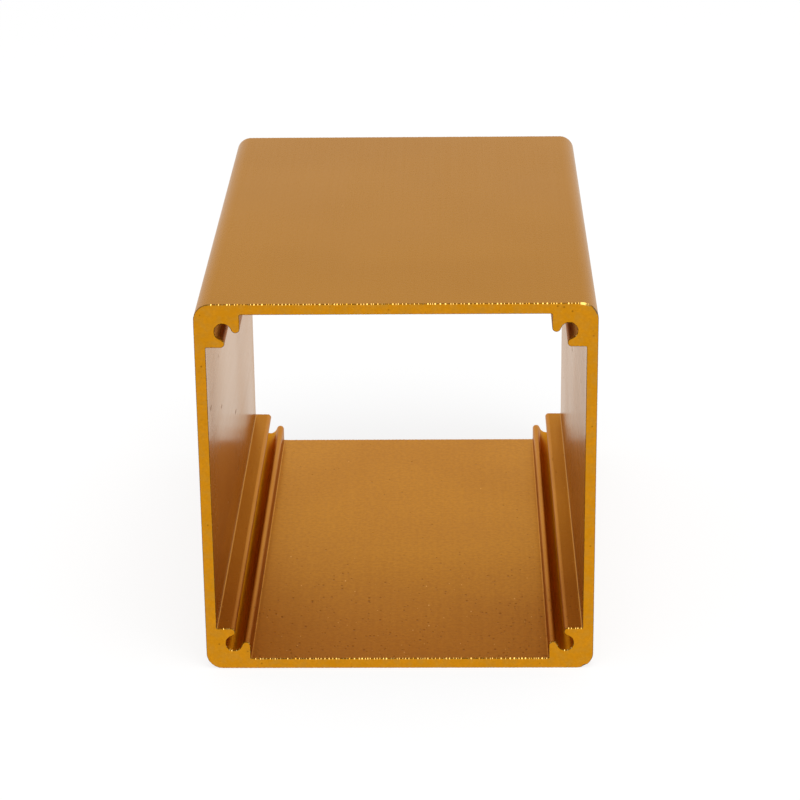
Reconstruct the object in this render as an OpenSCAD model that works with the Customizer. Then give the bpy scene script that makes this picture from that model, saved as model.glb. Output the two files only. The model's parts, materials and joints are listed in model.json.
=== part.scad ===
// Open-ended body of an aluminium enclosure: one cut length of square extruded tube,
// with an open screw port in each corner that takes the end plates' self-tapping screws.
// The tube lies along Y with its bottom face on Z = 0, and is centred on X and Y.

/* [Tube] */
// Width across the two side faces
body_width = 50; // [24:1:150]
// Height from the bottom face to the top face
body_height = 50; // [24:1:150]
// Length of the tube between its two cut ends
body_length = 75; // [10:1:300]
// Thickness of the four walls
wall = 1.4; // [0.8:0.1:2.4]
// Radius of the four long outer edges
edge_radius = 2.1; // [0.5:0.1:4]

/* [Screw ports] */
// Diameter of a screw port, the pilot hole of an end-plate screw
port_diameter = 2.1; // [1.2:0.1:3.6]
// Distance from a port's centre to each of the two outer faces beside it
port_inset = 3.6; // [3.2:0.1:8]
// Thickness of the two lips that wrap around a port
lip_thickness = 1.05; // [0.6:0.05:2]
// Drop of each lip's rounded tip below the port's centre, which flares the mouth
mouth_flare = 0.35; // [0.05:0.05:0.6]
// Radius of the fillet where a lip stands on the inside of a wall
root_fillet = 0.15; // [0.05:0.05:0.5]

/* [Hidden] */
anodised_gold = "#c98a24";
$fn = 96;

port_radius = port_diameter / 2;
port_centre = [port_inset, port_inset];
// A lip ends in a full round, so its tip has half the lip's thickness as radius.
tip_radius = lip_thickness / 2;
tip_centre = [port_inset + port_radius + tip_radius, port_inset - mouth_flare];
// The outer side of a lip, measured from the outer face that it runs along.
lip_side = port_inset + port_radius + lip_thickness;
// The mouth's flank is the straight line that touches the port on one side and the tip's round
// on the other. It runs into both rounds by a hair, so that each joins it in one clean edge.
flank_overlap = 0.002;
flank_angle = 2 * atan(mouth_flare / (port_radius + tip_radius));
flank_normal = [cos(flank_angle), -sin(flank_angle)];
flank_start = port_centre + (port_radius - flank_overlap) * flank_normal;
flank_end = tip_centre - (tip_radius - flank_overlap) * flank_normal;

// Repeats its children, drawn from a corner at the origin, in all four corners of the section.
module in_each_corner() {
    for (side = [0, 1], level = [0, 1])
        translate([0, body_height / 2])
            mirror([side, 0])
                mirror([0, level])
                    translate([-body_width / 2, -body_height / 2])
                        children();
}

// What a round of the given radius takes off, or leaves in, a square corner at the origin.
module corner_spandrel(radius) {
    difference() {
        square(radius);
        translate([radius, radius])
            circle(radius);
    }
}

// The outer outline of the tube.
module outline() {
    difference() {
        translate([-body_width / 2, 0])
            square([body_width, body_height]);
        in_each_corner()
            corner_spandrel(edge_radius);
    }
}

// One lip and the half of the corner boss that carries it, as far as the diagonal.
module half_boss() {
    polygon([
        [0, 0], [lip_side, 0], [lip_side, tip_centre.y],
        tip_centre, flank_end, flank_start, port_centre,
    ]);
    translate(tip_centre)
        circle(tip_radius);
    translate([lip_side, wall])
        corner_spandrel(root_fillet);
}

// The corner boss: two lips that mirror each other across the corner's diagonal.
module corner_boss() {
    half_boss();
    mirror([1, -1])
        half_boss();
}

// The hollow of the tube, which runs between the corner bosses.
module cavity() {
    difference() {
        translate([wall - body_width / 2, wall])
            square([body_width - 2 * wall, body_height - 2 * wall]);
        in_each_corner()
            corner_boss();
    }
}

// The section of the extrusion, with X across the tube and Y as its height.
module section() {
    difference() {
        outline();
        cavity();
        in_each_corner()
            translate(port_centre)
                circle(port_radius);
    }
}

module extruded_body() {
    color(anodised_gold)
        rotate([90, 0, 0])
            linear_extrude(body_length, center = true)
                section();
}

extruded_body();
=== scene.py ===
# Looks of an open-ended enclosure body: a cut length of square aluminium extrusion, anodised gold.
import json
import math
import random
from collections import namedtuple

import bpy
from mathutils import Matrix, Vector
from mathutils.geometry import delaunay_2d_cdt


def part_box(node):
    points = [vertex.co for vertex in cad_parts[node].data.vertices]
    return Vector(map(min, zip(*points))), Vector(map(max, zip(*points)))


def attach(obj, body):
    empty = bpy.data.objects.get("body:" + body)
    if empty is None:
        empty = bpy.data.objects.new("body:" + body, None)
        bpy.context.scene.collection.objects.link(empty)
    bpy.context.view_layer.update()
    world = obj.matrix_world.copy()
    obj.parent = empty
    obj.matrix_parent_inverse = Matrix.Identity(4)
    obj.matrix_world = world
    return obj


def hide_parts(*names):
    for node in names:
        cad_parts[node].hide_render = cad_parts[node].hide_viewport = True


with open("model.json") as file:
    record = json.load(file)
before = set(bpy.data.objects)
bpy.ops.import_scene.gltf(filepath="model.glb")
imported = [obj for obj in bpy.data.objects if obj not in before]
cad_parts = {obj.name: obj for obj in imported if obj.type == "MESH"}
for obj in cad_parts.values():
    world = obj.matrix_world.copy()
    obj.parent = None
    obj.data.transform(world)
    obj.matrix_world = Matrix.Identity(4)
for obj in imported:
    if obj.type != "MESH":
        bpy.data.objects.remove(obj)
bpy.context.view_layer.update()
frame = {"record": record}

# Sizes of the extrusion, in metres. The outside and the screw ports come from the frame.
BODY = "extruded_body"
MM = 0.001
body_low, body_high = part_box(BODY)
port_mount = next(m for m in frame["record"]["mounts"] if m["name"] == "screw_port_lower_left")
port_radius = port_mount["dims"]["r_mm"] * MM
port_inset = port_mount["pos_m"][0] - body_low.x
WALL = 1.4 * MM
EDGE_RADIUS = 2.1 * MM
LIP_THICKNESS = 1.05 * MM
MOUTH_FLARE = 0.35 * MM
ROOT_FILLET = 0.15 * MM

# Steps of the mesh along the rounds and the straights of the section, and along the tube.
ARC_STEP = 0.1 * MM
LEAST_ARC_STEPS = 4
STRAIGHT_STEP = 0.09 * MM
LENGTHWISE_STEPS = 6

# The sawn ends have a narrow broken edge, which is wider where it faces up.
EDGE_BREAK = 0.065 * MM
UPPER_BREAK = 0.045 * MM
# It is made of bright burrs with dull gaps between them, this many times as wide as said above.
BURR_WIDTH = 1.3
GAP_WIDTH = 0.8
# Shortest and longest burrs and gaps, in steps of the mesh. Gaps are short on level edges.
BURR_STEPS = (2, 3)
LEVEL_GAPS = (1, 4)
UPRIGHT_GAPS = (4, 16)
# How far up or down an edge has to face to count as level.
LEVEL_NORMAL = 0.7
# Shares by which the width and the setback of the edge stray, and how much of the first is left in a mark.
WIDTH_STRAY = 0.1
SETBACK_STRAY = 0.12
MARK_STRAY = 0.5
BURR_SEED = 11

# Marks on the outer edge of the front end, at places in the section: a bright rub and a dull bruise at
# the top right, and a dull nick at the bottom right.
Mark = namedtuple("Mark", "place reach width finish")
RUB = Mark(Vector((23.3 * MM, 49.95 * MM)), 0.72 * MM, 0.24 * MM, "edge")
BRUISE = Mark(Vector((24.7 * MM, 48.95 * MM)), 0.5 * MM, 0.15 * MM, "nick")
NICK = Mark(Vector((23.9 * MM, 0.25 * MM)), 0.28 * MM, 0.24 * MM, "nick")
MARKS = (RUB, BRUISE, NICK)

# Section of the extrusion. A station is a point of its outline, the direction out of the metal there and
# the finish of the face. A corner's stations are measured from the outer corner of the section, across
# first and then up. A loop's stations lie in the body's frame.
Station = namedtuple("Station", "point normal finish")


def arc(centre, radius, start, end, convex, finish):
    """Stations along a round between two angles in degrees, on a convex or a hollow face."""
    steps = max(LEAST_ARC_STEPS, math.ceil(radius * math.radians(abs(end - start)) / ARC_STEP))
    outward = 1 if convex else -1
    stations = []
    for i in range(steps + 1):
        angle = math.radians(start + (end - start) * i / steps)
        direction = Vector((math.cos(angle), math.sin(angle)))
        stations.append(Station(Vector(centre) + radius * direction, outward * direction, finish))
    return stations


def outer_corner():
    """The rounded long edge of the tube, from the side face to the bottom face."""
    return arc((EDGE_RADIUS, EDGE_RADIUS), EDGE_RADIUS, 180, 270, True, "outside")


def inner_corner():
    """A screw port between its two lips, from the inside of the side wall to the inside of the floor."""
    tip_radius = LIP_THICKNESS / 2
    tip_centre = (port_inset + port_radius + tip_radius, port_inset - MOUTH_FLARE)
    root_centre = (port_inset + port_radius + LIP_THICKNESS + ROOT_FILLET, WALL + ROOT_FILLET)
    flank = math.degrees(2 * math.atan(MOUTH_FLARE / (port_radius + tip_radius)))
    half = arc((port_inset, port_inset), port_radius, -135, -flank, False, "port")
    half += arc(tip_centre, tip_radius, 180 - flank, 0, True, "lip")
    half += arc(root_centre, ROOT_FILLET, 180, 270, False, "floor")
    mirrored = []
    for point, normal, finish in reversed(half):
        mirrored.append(Station(point.yx, normal.yx, "wall" if finish == "floor" else finish))
    return mirrored + half[1:]


def shared_finish(first, second):
    """The finish between two stations: a mouth's flank is its port's, a lip's outer side is a ledge."""
    pair = (first.finish, second.finish)
    for finish in ("port", "ledge"):
        if finish in pair:
            return finish
    if "lip" in pair and first.finish != second.finish:
        return "ledge"
    return first.finish


def in_all_corners(corner):
    """The closed loop of stations that a corner makes when it is mirrored into all four."""
    middle_x = (body_low.x + body_high.x) / 2
    middle_z = (body_low.z + body_high.z) / 2
    half_width = body_high.x - middle_x
    half_height = body_high.z - middle_z
    loop = []
    for side, level in ((-1, -1), (1, -1), (1, 1), (-1, 1)):
        for point, normal, finish in (corner if side == level else reversed(corner)):
            x = middle_x + side * (half_width - point.x)
            z = middle_z + level * (half_height - point.y)
            loop.append(Station(Vector((x, z)), Vector((-side * normal.x, -level * normal.y)), finish))
    return loop


def with_steps(loop):
    """A loop with further stations along its straights."""
    stepped = []
    for station, following in zip(loop, loop[1:] + loop[:1]):
        stepped.append(station)
        finish = shared_finish(station, following)
        steps = max(1, round((following.point - station.point).length / STRAIGHT_STEP))
        for i in range(1, steps):
            stepped.append(Station(station.point.lerp(following.point, i / steps), station.normal, finish))
    return stepped


# The body's mesh

# What the triangulation of an end keeps: triangles inside its outline, with the hollow left out.
INSIDE_WITH_HOLES = 2
# Points of an end that lie closer than this, in metres, count as one.
MERGE_DISTANCE = 1e-9


def mark_at(station):
    """The mark on the front end that a station lies in, if any."""
    for mark in MARKS:
        if (station.point - mark.place).length < mark.reach:
            return mark
    return None


def burr_pattern(loop, dice):
    """Whether each station of a loop lies in a burr or in a gap."""
    pattern = []
    while len(pattern) < len(loop):
        level = abs(loop[len(pattern)].normal.y) > LEVEL_NORMAL
        pattern += [True] * dice.randint(*BURR_STEPS)
        pattern += [False] * dice.randint(*(LEVEL_GAPS if level else UPRIGHT_GAPS))
    return pattern[:len(loop)]


def break_width(station, burr, mark, dice):
    """How wide the edge is broken at a station. The width strays less in a mark."""
    stray = dice.uniform(-WIDTH_STRAY, WIDTH_STRAY)
    if mark:
        return mark.width * (1 + MARK_STRAY * stray)
    width = EDGE_BREAK + UPPER_BREAK * max(0, station.normal.y)
    return width * (BURR_WIDTH if burr else GAP_WIDTH) * (1 + stray)


def end_rings(loop, pattern, end, inward, dice):
    """The two rings of points beside the broken edge of a sawn end, each point a little out of line."""
    flat, side = [], []
    for station, burr in zip(loop, pattern):
        mark = mark_at(station) if end == body_low.y else None
        width = break_width(station, burr, mark, dice)
        inner = station.point - width * station.normal
        flat.append((inner.x, end, inner.y))
        setback = width * dice.uniform(1 - SETBACK_STRAY, 1 + SETBACK_STRAY)
        side.append((station.point.x, end + inward * setback, station.point.y))
    return [flat, side]


def loop_rings(loop, patterns, dice):
    """All rings of a loop, from the front end to the rear end, given the burr pattern of each end."""
    front = end_rings(loop, patterns[0], body_low.y, 1, dice)
    rear = end_rings(loop, patterns[1], body_high.y, -1, dice)[::-1]
    between = []
    for i in range(1, LENGTHWISE_STEPS):
        y = body_low.y + (body_high.y - body_low.y) * i / LENGTHWISE_STEPS
        between.append([(station.point.x, y, station.point.y) for station in loop])
    return front + between + rear


def end_face(outer_ring, inner_ring):
    """Triangles of a flat sawn end, as places in the two rings taken one after the other."""
    points = [Vector((x, z)) for x, _, z in outer_ring + inner_ring]
    split = len(outer_ring)
    outline = list(reversed(range(split)))
    hollow = list(reversed(range(split, len(points))))
    made = delaunay_2d_cdt(points, [], [outline, hollow], INSIDE_WITH_HOLES, MERGE_DISTANCE)
    triangles, sources = made[2], made[3]
    return [[sources[i][0] for i in triangle] for triangle in triangles]


def broken_edge_finish(station, burr, front):
    """The finish of the broken edge at a station of the front or the rear end."""
    mark = mark_at(station) if front else None
    if mark:
        return mark.finish
    return "edge" if burr else "gap"


def tube_faces(loop, patterns, rows, start):
    """The quads between the rings of a loop, whose points begin at a start, and the finish of each."""
    front, rear = patterns
    count = len(loop)
    faces, finishes = [], []
    for row in range(rows - 1):
        base = start + row * count
        for i in range(count):
            j = (i + 1) % count
            faces.append((base + i, base + j, base + count + j, base + count + i))
            if row == 0:
                finish = broken_edge_finish(loop[i], front[i] and front[j], True)
            elif row == rows - 2:
                finish = broken_edge_finish(loop[i], rear[i] and rear[j], False)
            else:
                finish = shared_finish(loop[i], loop[j])
            finishes.append(finish)
    return faces, finishes


def body_surface():
    """The points and the faces of the tube with its sawn ends, and the finish of each face."""
    dice = random.Random(BURR_SEED)
    outer_loop = with_steps(in_all_corners(outer_corner()))[::-1]
    inner_loop = with_steps(in_all_corners(inner_corner()))
    vertices, faces, finishes, tubes = [], [], [], []
    for loop in (outer_loop, inner_loop):
        patterns = [burr_pattern(loop, dice), burr_pattern(loop, dice)]
        rings = loop_rings(loop, patterns, dice)
        tubes.append((len(vertices), rings))
        made_faces, made_finishes = tube_faces(loop, patterns, len(rings), len(vertices))
        faces += made_faces
        finishes += made_finishes
        vertices += [point for ring in rings for point in ring]
    (outer_start, outer), (inner_start, inner) = tubes
    split = len(outer_loop)
    for row, turn in ((0, 1), (len(outer) - 1, -1)):
        first = outer_start + row * split
        second = inner_start + row * len(inner_loop) - split
        for triangle in end_face(outer[row], inner[row]):
            faces.append(tuple((first if i < split else second) + i for i in triangle[::turn]))
            finishes.append("sawn")
    return vertices, faces, finishes


def sharpen_borders(mesh):
    """Makes the borders of flat faces sharp, so that no burr facet shades the skin beside it."""
    flat_edges = set()
    for polygon in mesh.polygons:
        if not polygon.use_smooth:
            flat_edges.update(polygon.edge_keys)
    mesh.edges.foreach_set("use_edge_sharp", [key in flat_edges for key in mesh.edge_keys])


def make_body(materials):
    """The tube, with a material for each finish. Its skins are shaded smoothly, its ends and edges flat."""
    vertices, faces, finishes = body_surface()
    mesh = bpy.data.meshes.new("extruded_body_finish")
    mesh.from_pydata(vertices, [], faces)
    names = list(materials)
    for name in names:
        mesh.materials.append(materials[name])
    mesh.polygons.foreach_set("material_index", [names.index(finish) for finish in finishes])
    mesh.polygons.foreach_set("use_smooth", [finish in SKINS for finish in finishes])
    sharpen_borders(mesh)
    made = bpy.data.objects.new("extruded_body_finish", mesh)
    bpy.context.scene.collection.objects.link(made)
    return made


# Shader nodes

# Ranges of values: from none to all, and the middle and the broader middle of what a noise gives.
UNIT = (0, 1)
MOST = (0.35, 0.65)
BROAD = (0.3, 0.7)
# By how much a spot's radius may fall short of the largest, and where its soft rim begins, as shares of it.
SPOT_SHRINK = 0.6
SPOT_CORE = 0.5
# How far from the front end the zone of wear and painted shade holds fully, and where it has died away.
FRONT_ZONE_REACH = 8 * MM
FRONT_ZONE_END = 34 * MM
# Places of the sockets on a Mix node that mixes colours: three inputs and its output.
MIX_SHARE = 0
MIX_FIRST = 6
MIX_SECOND = 7
MIX_RESULT = 2


class Shader:
    """A material with a metal surface, and short calls that add nodes and join them."""

    def __init__(self, name):
        self.material = bpy.data.materials.new(name)
        self.material.use_nodes = True
        self.tree = self.material.node_tree
        self.surface = self.tree.nodes["Principled BSDF"]

    def put(self, node, inputs):
        """Sets the inputs of a node, or links them where a value is another node's socket."""
        for key, value in inputs.items():
            if isinstance(value, bpy.types.NodeSocket):
                self.tree.links.new(value, node.inputs[key])
            else:
                node.inputs[key].default_value = value

    def node(self, kind, inputs, **settings):
        """A new node of a kind, with its settings and inputs."""
        made = self.tree.nodes.new("ShaderNode" + kind)
        for key, value in settings.items():
            setattr(made, key, value)
        self.put(made, inputs)
        return made

    def place(self):
        """The place on the body, in metres."""
        return self.node("TexCoord", {}).outputs["Object"]

    def steps(self, size, stretch, turn):
        """Places on the body in steps of a size in metres, stretched along axes turned about Y."""
        inputs = {
            "Vector": self.place(),
            "Rotation": (0, math.radians(turn), 0),
            "Scale": [size * s for s in stretch],
        }
        return self.node("Mapping", inputs, vector_type="TEXTURE").outputs["Vector"]

    def noise(self, size, stretch=(1, 1, 1), turn=0, detail=2.0):
        """Cloudy values about 0.5, with grains of a size in metres."""
        inputs = {"Vector": self.steps(size, stretch, turn), "Scale": 1.0, "Detail": detail}
        return self.node("TexNoise", inputs).outputs["Fac"]

    def spots(self, spacing, radius, share, stretch=(1, 1, 1), turn=0):
        """1 in scattered spots up to a radius, in a share of the cells of a spacing, and 0 elsewhere."""
        cells = self.node("TexVoronoi", {"Vector": self.steps(spacing, stretch, turn), "Scale": 1.0})
        draws = self.node("SeparateColor", {"Color": cells.outputs["Color"]}).outputs
        reach = radius / spacing
        shrink = self.span(draws["Green"], UNIT, (0, SPOT_SHRINK * reach))
        inside = self.span(self.add(cells.outputs["Distance"], shrink), (reach, SPOT_CORE * reach), UNIT)
        chosen = self.node("Math", {0: draws["Red"], 1: share}, operation="LESS_THAN").outputs[0]
        return self.node("Math", {0: inside, 1: chosen}, operation="MULTIPLY").outputs[0]

    def from_front(self, front, rear):
        """A value that holds in the front zone of wear and painted shade, and another one behind it."""
        y = self.node("SeparateXYZ", {"Vector": self.place()}).outputs["Y"]
        return self.span(y, (body_low.y + FRONT_ZONE_REACH, body_low.y + FRONT_ZONE_END), (front, rear))

    def span(self, value, source, target):
        """A value carried from one range into another, and held at its ends."""
        inputs = {
            "Value": value,
            "From Min": source[0], "From Max": source[1],
            "To Min": target[0], "To Max": target[1],
        }
        return self.node("MapRange", inputs, clamp=True).outputs["Result"]

    def mix(self, share, first, second):
        """One colour where the share is 0 and another where it is 1."""
        inputs = {MIX_SHARE: share, MIX_FIRST: first, MIX_SECOND: second}
        return self.node("Mix", inputs, data_type="RGBA").outputs[MIX_RESULT]

    def layer(self, tone, over, mask, share, reach=UNIT):
        """A tone with up to a share of another colour over it, as a mask goes through a range."""
        return self.mix(self.span(mask, reach, (0, share)), tone, over)

    def add(self, first, second):
        """The sum of two values."""
        return self.node("Math", {0: first, 1: second}, operation="ADD").outputs[0]

    def bump(self, height, depth, onto=None):
        """A surface normal with relief of a depth in metres, on top of another one."""
        inputs = {"Height": height, "Distance": depth, "Strength": 1.0}
        if onto is not None:
            inputs["Normal"] = onto
        return self.node("Bump", inputs).outputs["Normal"]


def colour(red, green, blue):
    """An opaque colour, in linear shares."""
    return (red, green, blue, 1.0)


# Skins: the finishes of the faces along the tube

# Pale and deep are the two tones of a skin's gold, and sheen is its tint at a glancing look. Bands are
# broad changes of its roughness, and relief is the depth of its grain in metres. Mottle is the share of a
# darker tone in it. Pits and rear_pits are the shares of places with a pit or a fleck, at the front end
# and behind the front zone, and a quarter of each is the share of a darker gold painted on there as
# shade. Drags is the share of places with a drag mark.
Skin = namedtuple("Skin", "pale deep sheen roughness bands relief mottle pits rear_pits drags")
SKINS = {
    "outside": Skin(
        pale=colour(0.445, 0.18, 0.005), deep=colour(0.43, 0.172, 0.004), sheen=colour(0.917, 0.804, 0.652),
        roughness=0.26, bands=0.015, relief=0.012 * MM, mottle=0.12,
        pits=0.002, rear_pits=0.002, drags=0.06),
    "wall": Skin(
        pale=colour(0.48, 0.192, 0.004), deep=colour(0.45, 0.176, 0.003), sheen=colour(0.917, 0.86, 0.76),
        roughness=0.24, bands=0.035, relief=0.004 * MM, mottle=0.16,
        pits=0.1, rear_pits=0.1, drags=1.0),
    # The floor is a lighter copy of the walls' gold, which lifts the shade over its middle: painted light.
    "floor": Skin(
        pale=colour(0.56, 0.222, 0.004), deep=colour(0.53, 0.205, 0.003), sheen=colour(0.917, 0.85, 0.735),
        roughness=0.34, bands=0.01, relief=0.005 * MM, mottle=0.35,
        pits=1.0, rear_pits=0.08, drags=0.0),
    # The ledges are a darker copy of the walls' gold, with less sheen: painted shade.
    "ledge": Skin(
        pale=colour(0.48, 0.175, 0.002), deep=colour(0.445, 0.157, 0.001), sheen=colour(0.925, 0.77, 0.61),
        roughness=0.36, bands=0.02, relief=0.02 * MM, mottle=0.16,
        pits=0.8, rear_pits=0.05, drags=0.1),
    # The lips' rounds are a lighter copy, with more sheen than the ledges: a painted highlight.
    "lip": Skin(
        pale=colour(0.56, 0.21, 0.004), deep=colour(0.51, 0.19, 0.003), sheen=colour(0.92, 0.805, 0.71),
        roughness=0.36, bands=0.02, relief=0.02 * MM, mottle=0.16,
        pits=0.8, rear_pits=0.05, drags=0.1),
    # The bores are a much lighter copy of the gold, which lifts the shade inside them: painted light.
    "port": Skin(
        pale=colour(0.69, 0.27, 0.004), deep=colour(0.64, 0.24, 0.002), sheen=colour(0.88, 0.77, 0.52),
        roughness=0.45, bands=0.02, relief=0.02 * MM, mottle=0.16,
        pits=0.12, rear_pits=0.12, drags=0.1),
}

# Tones that lie over the gold of a skin.
MOTTLE_GOLD = colour(0.36, 0.11, 0.001)
# A darker gold that the front zone lays over a skin: painted shade.
FRONT_SHADE_GOLD = colour(0.46, 0.14, 0.0005)
PIT_GOLD = colour(0.24, 0.075, 0.001)
FLECK_GOLD = colour(0.88, 0.52, 0.15)
DRAG_BROWN = colour(0.17, 0.06, 0.003)
# How far grain and die lines change the roughness of a skin, and what wear, pits and drags add to it.
GRAIN_ROUGHNESS = 0.025
LINE_ROUGHNESS = 0.012
WORN_ROUGHNESS = 0.07
PIT_ROUGHNESS = 0.1
DRAG_ROUGHNESS = 0.4
# The fine grain's share of a skin's relief, and the depths of the die lines and the pits.
FINE_GRAIN_SHARE = 0.5
LINE_DEPTH = 0.0008 * MM
PIT_DEPTH = 0.016 * MM


def skin_finish(name, skin):
    """An extruded face: etched to a satin grain and anodised gold, marked along its length."""
    s = Shader("gold_skin_" + name)
    clouds = s.noise(size=14 * MM, detail=0.5)
    mottle = s.noise(size=0.5 * MM, detail=3.0)
    lines = s.noise(size=0.35 * MM, stretch=(1, 120, 1))
    bands = s.noise(size=20 * MM, stretch=(1, 1, 3), detail=0.7)
    grain = s.noise(size=0.16 * MM)
    coarse = s.noise(size=0.42 * MM)
    front_wear_and_shade = s.from_front(skin.pits, skin.rear_pits)
    pits = s.spots(spacing=0.65 * MM, radius=0.2 * MM, share=front_wear_and_shade, stretch=(1, 1.5, 1))
    flecks = s.spots(spacing=1.0 * MM, radius=0.12 * MM, share=front_wear_and_shade, stretch=(1, 2, 1))
    drags = s.spots(spacing=2.4 * MM, radius=0.26 * MM, share=skin.drags, stretch=(1, 5, 1))
    tone = s.mix(s.span(clouds, MOST, UNIT), skin.deep, skin.pale)
    tone = s.layer(tone, MOTTLE_GOLD, mottle, share=skin.mottle, reach=MOST)
    # Painted shade: the front zone's darker gold, strongest at the front end.
    tone = s.layer(tone, FRONT_SHADE_GOLD, front_wear_and_shade, share=0.25)
    tone = s.layer(tone, PIT_GOLD, pits, share=0.4)
    tone = s.layer(tone, FLECK_GOLD, flecks, share=0.7)
    tone = s.layer(tone, DRAG_BROWN, drags, share=0.6)
    rough = s.span(grain, BROAD, (skin.roughness - GRAIN_ROUGHNESS, skin.roughness + GRAIN_ROUGHNESS))
    rough = s.add(rough, s.span(lines, MOST, (-LINE_ROUGHNESS, LINE_ROUGHNESS)))
    rough = s.add(rough, s.span(bands, MOST, (-skin.bands, skin.bands)))
    for mask, amount in ((front_wear_and_shade, WORN_ROUGHNESS), (pits, PIT_ROUGHNESS), (drags, DRAG_ROUGHNESS)):
        rough = s.add(rough, s.span(mask, UNIT, (0, amount)))
    relief = s.bump(grain, FINE_GRAIN_SHARE * skin.relief)
    relief = s.bump(coarse, skin.relief, relief)
    relief = s.bump(lines, LINE_DEPTH, relief)
    relief = s.bump(s.span(pits, UNIT, (1, 0)), PIT_DEPTH, relief)
    s.put(s.surface, {
        "Base Color": tone, "Roughness": rough, "Normal": relief, "Metallic": 1.0,
        "Specular Tint": skin.sheen,
    })
    return s.material


# Finishes of the sawn ends and their edges

# Tones of the sawn metal, and what lies over them.
SAWN_DEEP = colour(0.635, 0.258, 0.006)
SAWN_PALE = colour(0.695, 0.288, 0.01)
SAWN_PATCH = colour(0.56, 0.27, 0.03)
SAWN_MOTTLE = colour(0.53, 0.212, 0.008)
SAWN_PIT = colour(0.25, 0.09, 0.003)
SAWN_FLECK = colour(0.9, 0.5, 0.06)
SCRATCH_BROWN = colour(0.4, 0.14, 0.004)
SLANT_GOLD = colour(0.8, 0.42, 0.03)
STROKE_BROWN = colour(0.3, 0.11, 0.003)
SCRATCH_DEPTH = 0.004 * MM
# Tones of the burrs and the gaps between them, their darker ones painted shade, and of the metal in a nick.
BURR_PAINTED_SHADE = colour(0.27, 0.135, 0.014)
BURR_BRIGHT = colour(0.43, 0.25, 0.06)
GAP_SHADE_DEEP = colour(0.09, 0.037, 0.003)
GAP_SHADE_PALE = colour(0.18, 0.074, 0.005)
NICK_DEEP = colour(0.08, 0.05, 0.02)
NICK_PALE = colour(0.2, 0.11, 0.03)
# Tints at a glancing look, of bare and of dull metal, and how much of a metal the dirty one in a nick is.
BARE_SHEEN = colour(0.9, 0.8, 0.6)
DULL_SHEEN = colour(0.8, 0.68, 0.5)
NICK_METALLIC = 0.3


def sawn_finish():
    """The sawn ends: a bright, deeper gold with a few scratches and pits left by the blade."""
    s = Shader("gold_sawn_end")
    clouds = s.noise(size=2.5 * MM)
    patches = s.noise(size=1.1 * MM, detail=3.0)
    mottle = s.noise(size=0.35 * MM)
    scratches = s.noise(size=0.11 * MM, stretch=(5, 1, 1))
    slants = s.noise(size=0.12 * MM, stretch=(4, 1, 1), turn=50)
    pits = s.spots(spacing=0.9 * MM, radius=0.2 * MM, share=0.18)
    flecks = s.spots(spacing=1.3 * MM, radius=0.14 * MM, share=0.2)
    strokes = s.spots(spacing=1.4 * MM, radius=0.12 * MM, share=0.3, stretch=(5, 1, 1), turn=-25)
    tone = s.mix(s.span(clouds, MOST, UNIT), SAWN_DEEP, SAWN_PALE)
    tone = s.layer(tone, SAWN_PATCH, patches, share=0.55, reach=(0.45, 0.65))
    tone = s.layer(tone, SAWN_MOTTLE, mottle, share=0.5, reach=BROAD)
    tone = s.layer(tone, SCRATCH_BROWN, scratches, share=0.3, reach=(0.6, 0.72))
    tone = s.layer(tone, SLANT_GOLD, slants, share=0.3, reach=(0.62, 0.74))
    tone = s.layer(tone, STROKE_BROWN, strokes, share=0.5)
    tone = s.layer(tone, SAWN_PIT, pits, share=0.75)
    tone = s.layer(tone, SAWN_FLECK, flecks, share=0.6)
    s.put(s.surface, {
        "Base Color": tone, "Roughness": s.span(clouds, BROAD, (0.42, 0.5)),
        "Normal": s.bump(scratches, SCRATCH_DEPTH), "Metallic": 1.0, "Specular Tint": BARE_SHEEN,
    })
    return s.material


def burr_finish():
    """The burrs on the broken edges of the sawn ends: bright metal, with patches painted darker as shade.
    """
    s = Shader("gold_burred_edge")
    patches = s.noise(size=1.2 * MM)
    s.put(s.surface, {
        "Base Color": s.mix(s.span(patches, (0.35, 0.5), UNIT), BURR_PAINTED_SHADE, BURR_BRIGHT),
        "Roughness": s.span(patches, BROAD, (0.16, 0.26)),
        "Metallic": 1.0, "Specular Tint": BARE_SHEEN,
    })
    return s.material


def gap_shade_finish():
    """The gaps between the burrs of a broken edge: dull gold, painted dark as shade."""
    s = Shader("gold_dull_shaded_edge")
    patches = s.noise(size=0.3 * MM)
    s.put(s.surface, {
        "Base Color": s.mix(s.span(patches, MOST, UNIT), GAP_SHADE_DEEP, GAP_SHADE_PALE),
        "Roughness": s.span(patches, BROAD, (0.45, 0.55)),
        "Metallic": 1.0, "Specular Tint": DULL_SHEEN,
    })
    return s.material


def nick_finish():
    """The bottom of a nick or a bruise: crushed metal with dirt in it, dull and brown."""
    s = Shader("bruised_nick")
    patches = s.noise(size=0.15 * MM)
    s.put(s.surface, {
        "Base Color": s.mix(s.span(patches, MOST, UNIT), NICK_DEEP, NICK_PALE),
        "Roughness": s.span(patches, BROAD, (0.6, 0.8)),
        "Metallic": NICK_METALLIC,
    })
    return s.material


def make_materials():
    """The material of each finish, by the finish's name."""
    materials = {name: skin_finish(name, skin) for name, skin in SKINS.items()}
    materials["edge"] = burr_finish()
    materials["gap"] = gap_shade_finish()
    materials["sawn"] = sawn_finish()
    materials["nick"] = nick_finish()
    return materials


# Camera and studio

# The camera is fitted to the straight edges in the photograph: place in metres, angles in degrees, lens
# and sensor in millimetres.
CAMERA_PLACE = (0.00734, -0.34969, 0.15947)
CAMERA_PITCH = 21.367
CAMERA_YAW = -1.267
CAMERA_ROLL = -0.677
CAMERA_LENS = 121.116
SENSOR_WIDTH = 36.0
# What is nearer to the camera than this, in metres, is not seen.
NEAREST_SEEN = 0.01
# The room's light on surfaces, where what the camera sees of the room has a strength of 1.
WHITE = colour(1, 1, 1)
ROOM_LEVEL = 0.9
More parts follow.
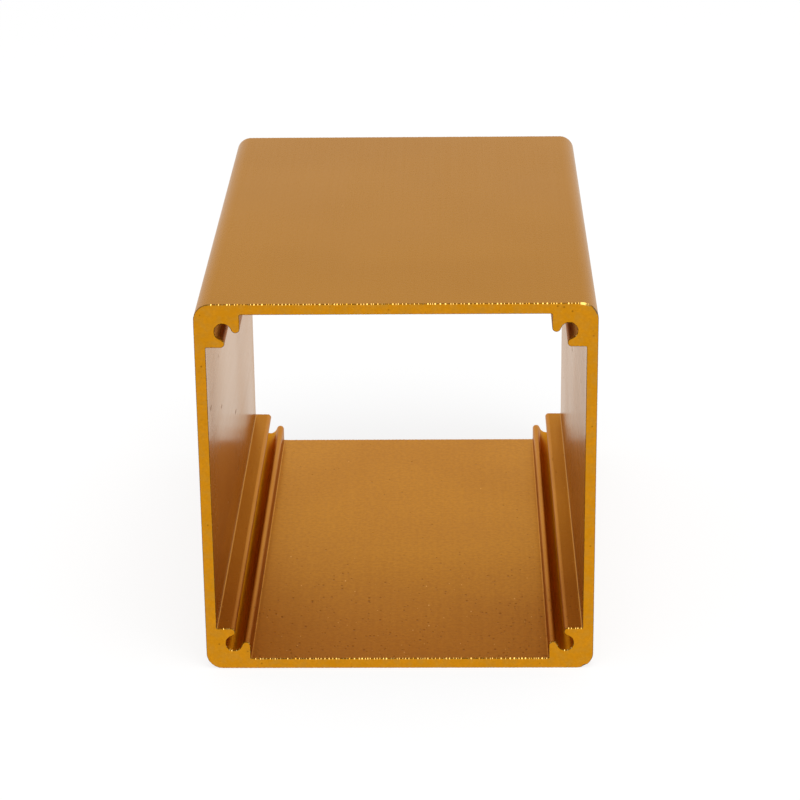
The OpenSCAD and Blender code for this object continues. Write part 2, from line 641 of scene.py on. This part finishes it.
# The studio floor lies a hair below the body. As the camera sees it, this share of it is backdrop white.
FLOOR_HALF_WIDTH = 4.0
FLOOR_GAP = 0.02 * MM
FLOOR_PAINT = colour(0.95, 0.95, 0.95)
BACKDROP_SHARE = 0.8
# The softbox hangs above and in front of the body, toward the right.
SOFTBOX_SIZE = 0.36
SOFTBOX_PLACE = (0.08, -0.22, 0.60)
SOFTBOX_RADIANCE = 4.0


def make_camera():
    """The camera of the photograph's view."""
    data = bpy.data.cameras.new("camera")
    data.lens = CAMERA_LENS
    data.sensor_width = SENSOR_WIDTH
    data.clip_start = NEAREST_SEEN
    camera = bpy.data.objects.new("camera", data)
    yaw = Matrix.Rotation(math.radians(-CAMERA_YAW), 4, "Z")
    pitch = Matrix.Rotation(math.radians(90 - CAMERA_PITCH), 4, "X")
    roll = Matrix.Rotation(math.radians(CAMERA_ROLL), 4, "Z")
    camera.matrix_world = Matrix.Translation(CAMERA_PLACE) @ yaw @ pitch @ roll
    bpy.context.scene.collection.objects.link(camera)
    bpy.context.scene.camera = camera


def seen_directly(tree):
    """1 for what the camera sees, itself or in a mirror or through glass, and 0 for light on surfaces."""
    path = tree.nodes.new("ShaderNodeLightPath")
    total = path.outputs["Is Camera Ray"]
    for name in ("Is Glossy Ray", "Is Transmission Ray"):
        larger = tree.nodes.new("ShaderNodeMath")
        larger.operation = "MAXIMUM"
        tree.links.new(total, larger.inputs[0])
        tree.links.new(path.outputs[name], larger.inputs[1])
        total = larger.outputs[0]
    return total


def make_world():
    """A white room that lights the body evenly from all sides."""
    world = bpy.data.worlds.new("white_room")
    world.use_nodes = True
    tree = world.node_tree
    strength = tree.nodes.new("ShaderNodeMapRange")
    strength.inputs["To Min"].default_value = ROOM_LEVEL
    strength.inputs["To Max"].default_value = 1.0
    tree.links.new(seen_directly(tree), strength.inputs["Value"])
    background = tree.nodes["Background"]
    background.inputs["Color"].default_value = WHITE
    tree.links.new(strength.outputs["Result"], background.inputs["Strength"])
    bpy.context.scene.world = world


def floor_material():
    """White paint that keeps a shadow. To the camera, a share of it is the backdrop's plain white."""
    material = bpy.data.materials.new("white_floor")
    material.use_nodes = True
    tree = material.node_tree
    tree.nodes.remove(tree.nodes["Principled BSDF"])
    matte = tree.nodes.new("ShaderNodeBsdfDiffuse")
    matte.inputs["Color"].default_value = FLOOR_PAINT
    glow = tree.nodes.new("ShaderNodeEmission")
    share = tree.nodes.new("ShaderNodeMapRange")
    share.inputs["To Max"].default_value = BACKDROP_SHARE
    blend = tree.nodes.new("ShaderNodeMixShader")
    tree.links.new(seen_directly(tree), share.inputs["Value"])
    tree.links.new(share.outputs["Result"], blend.inputs["Fac"])
    tree.links.new(matte.outputs["BSDF"], blend.inputs[1])
    tree.links.new(glow.outputs["Emission"], blend.inputs[2])
    tree.links.new(blend.outputs["Shader"], tree.nodes["Material Output"].inputs["Surface"])
    return material


def make_floor():
    """A wide white floor that keeps the soft shadow of the body."""
    half = FLOOR_HALF_WIDTH
    mesh = bpy.data.meshes.new("floor")
    corners = [(-half, -half, 0), (half, -half, 0), (half, half, 0), (-half, half, 0)]
    mesh.from_pydata(corners, [], [(0, 1, 2, 3)])
    mesh.materials.append(floor_material())
    floor = bpy.data.objects.new("floor", mesh)
    floor.location.z = body_low.z - FLOOR_GAP
    bpy.context.scene.collection.objects.link(floor)


def make_softbox():
    """A square lamp aimed at the middle of the body, whose power goes with its area."""
    lamp = bpy.data.lights.new("softbox", "AREA")
    lamp.size = SOFTBOX_SIZE
    lamp.energy = SOFTBOX_RADIANCE * math.pi * SOFTBOX_SIZE ** 2
    box = bpy.data.objects.new("softbox", lamp)
    aim = (body_low + body_high) / 2 - Vector(SOFTBOX_PLACE)
    turn = aim.to_track_quat("-Z", "Y").to_matrix().to_4x4()
    box.matrix_world = Matrix.Translation(SOFTBOX_PLACE) @ turn
    bpy.context.scene.collection.objects.link(box)


make_camera()
make_world()
make_floor()
make_softbox()
bpy.context.scene.view_settings.view_transform = "Standard"

body = make_body(make_materials())
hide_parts(BODY)
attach(body, "root")
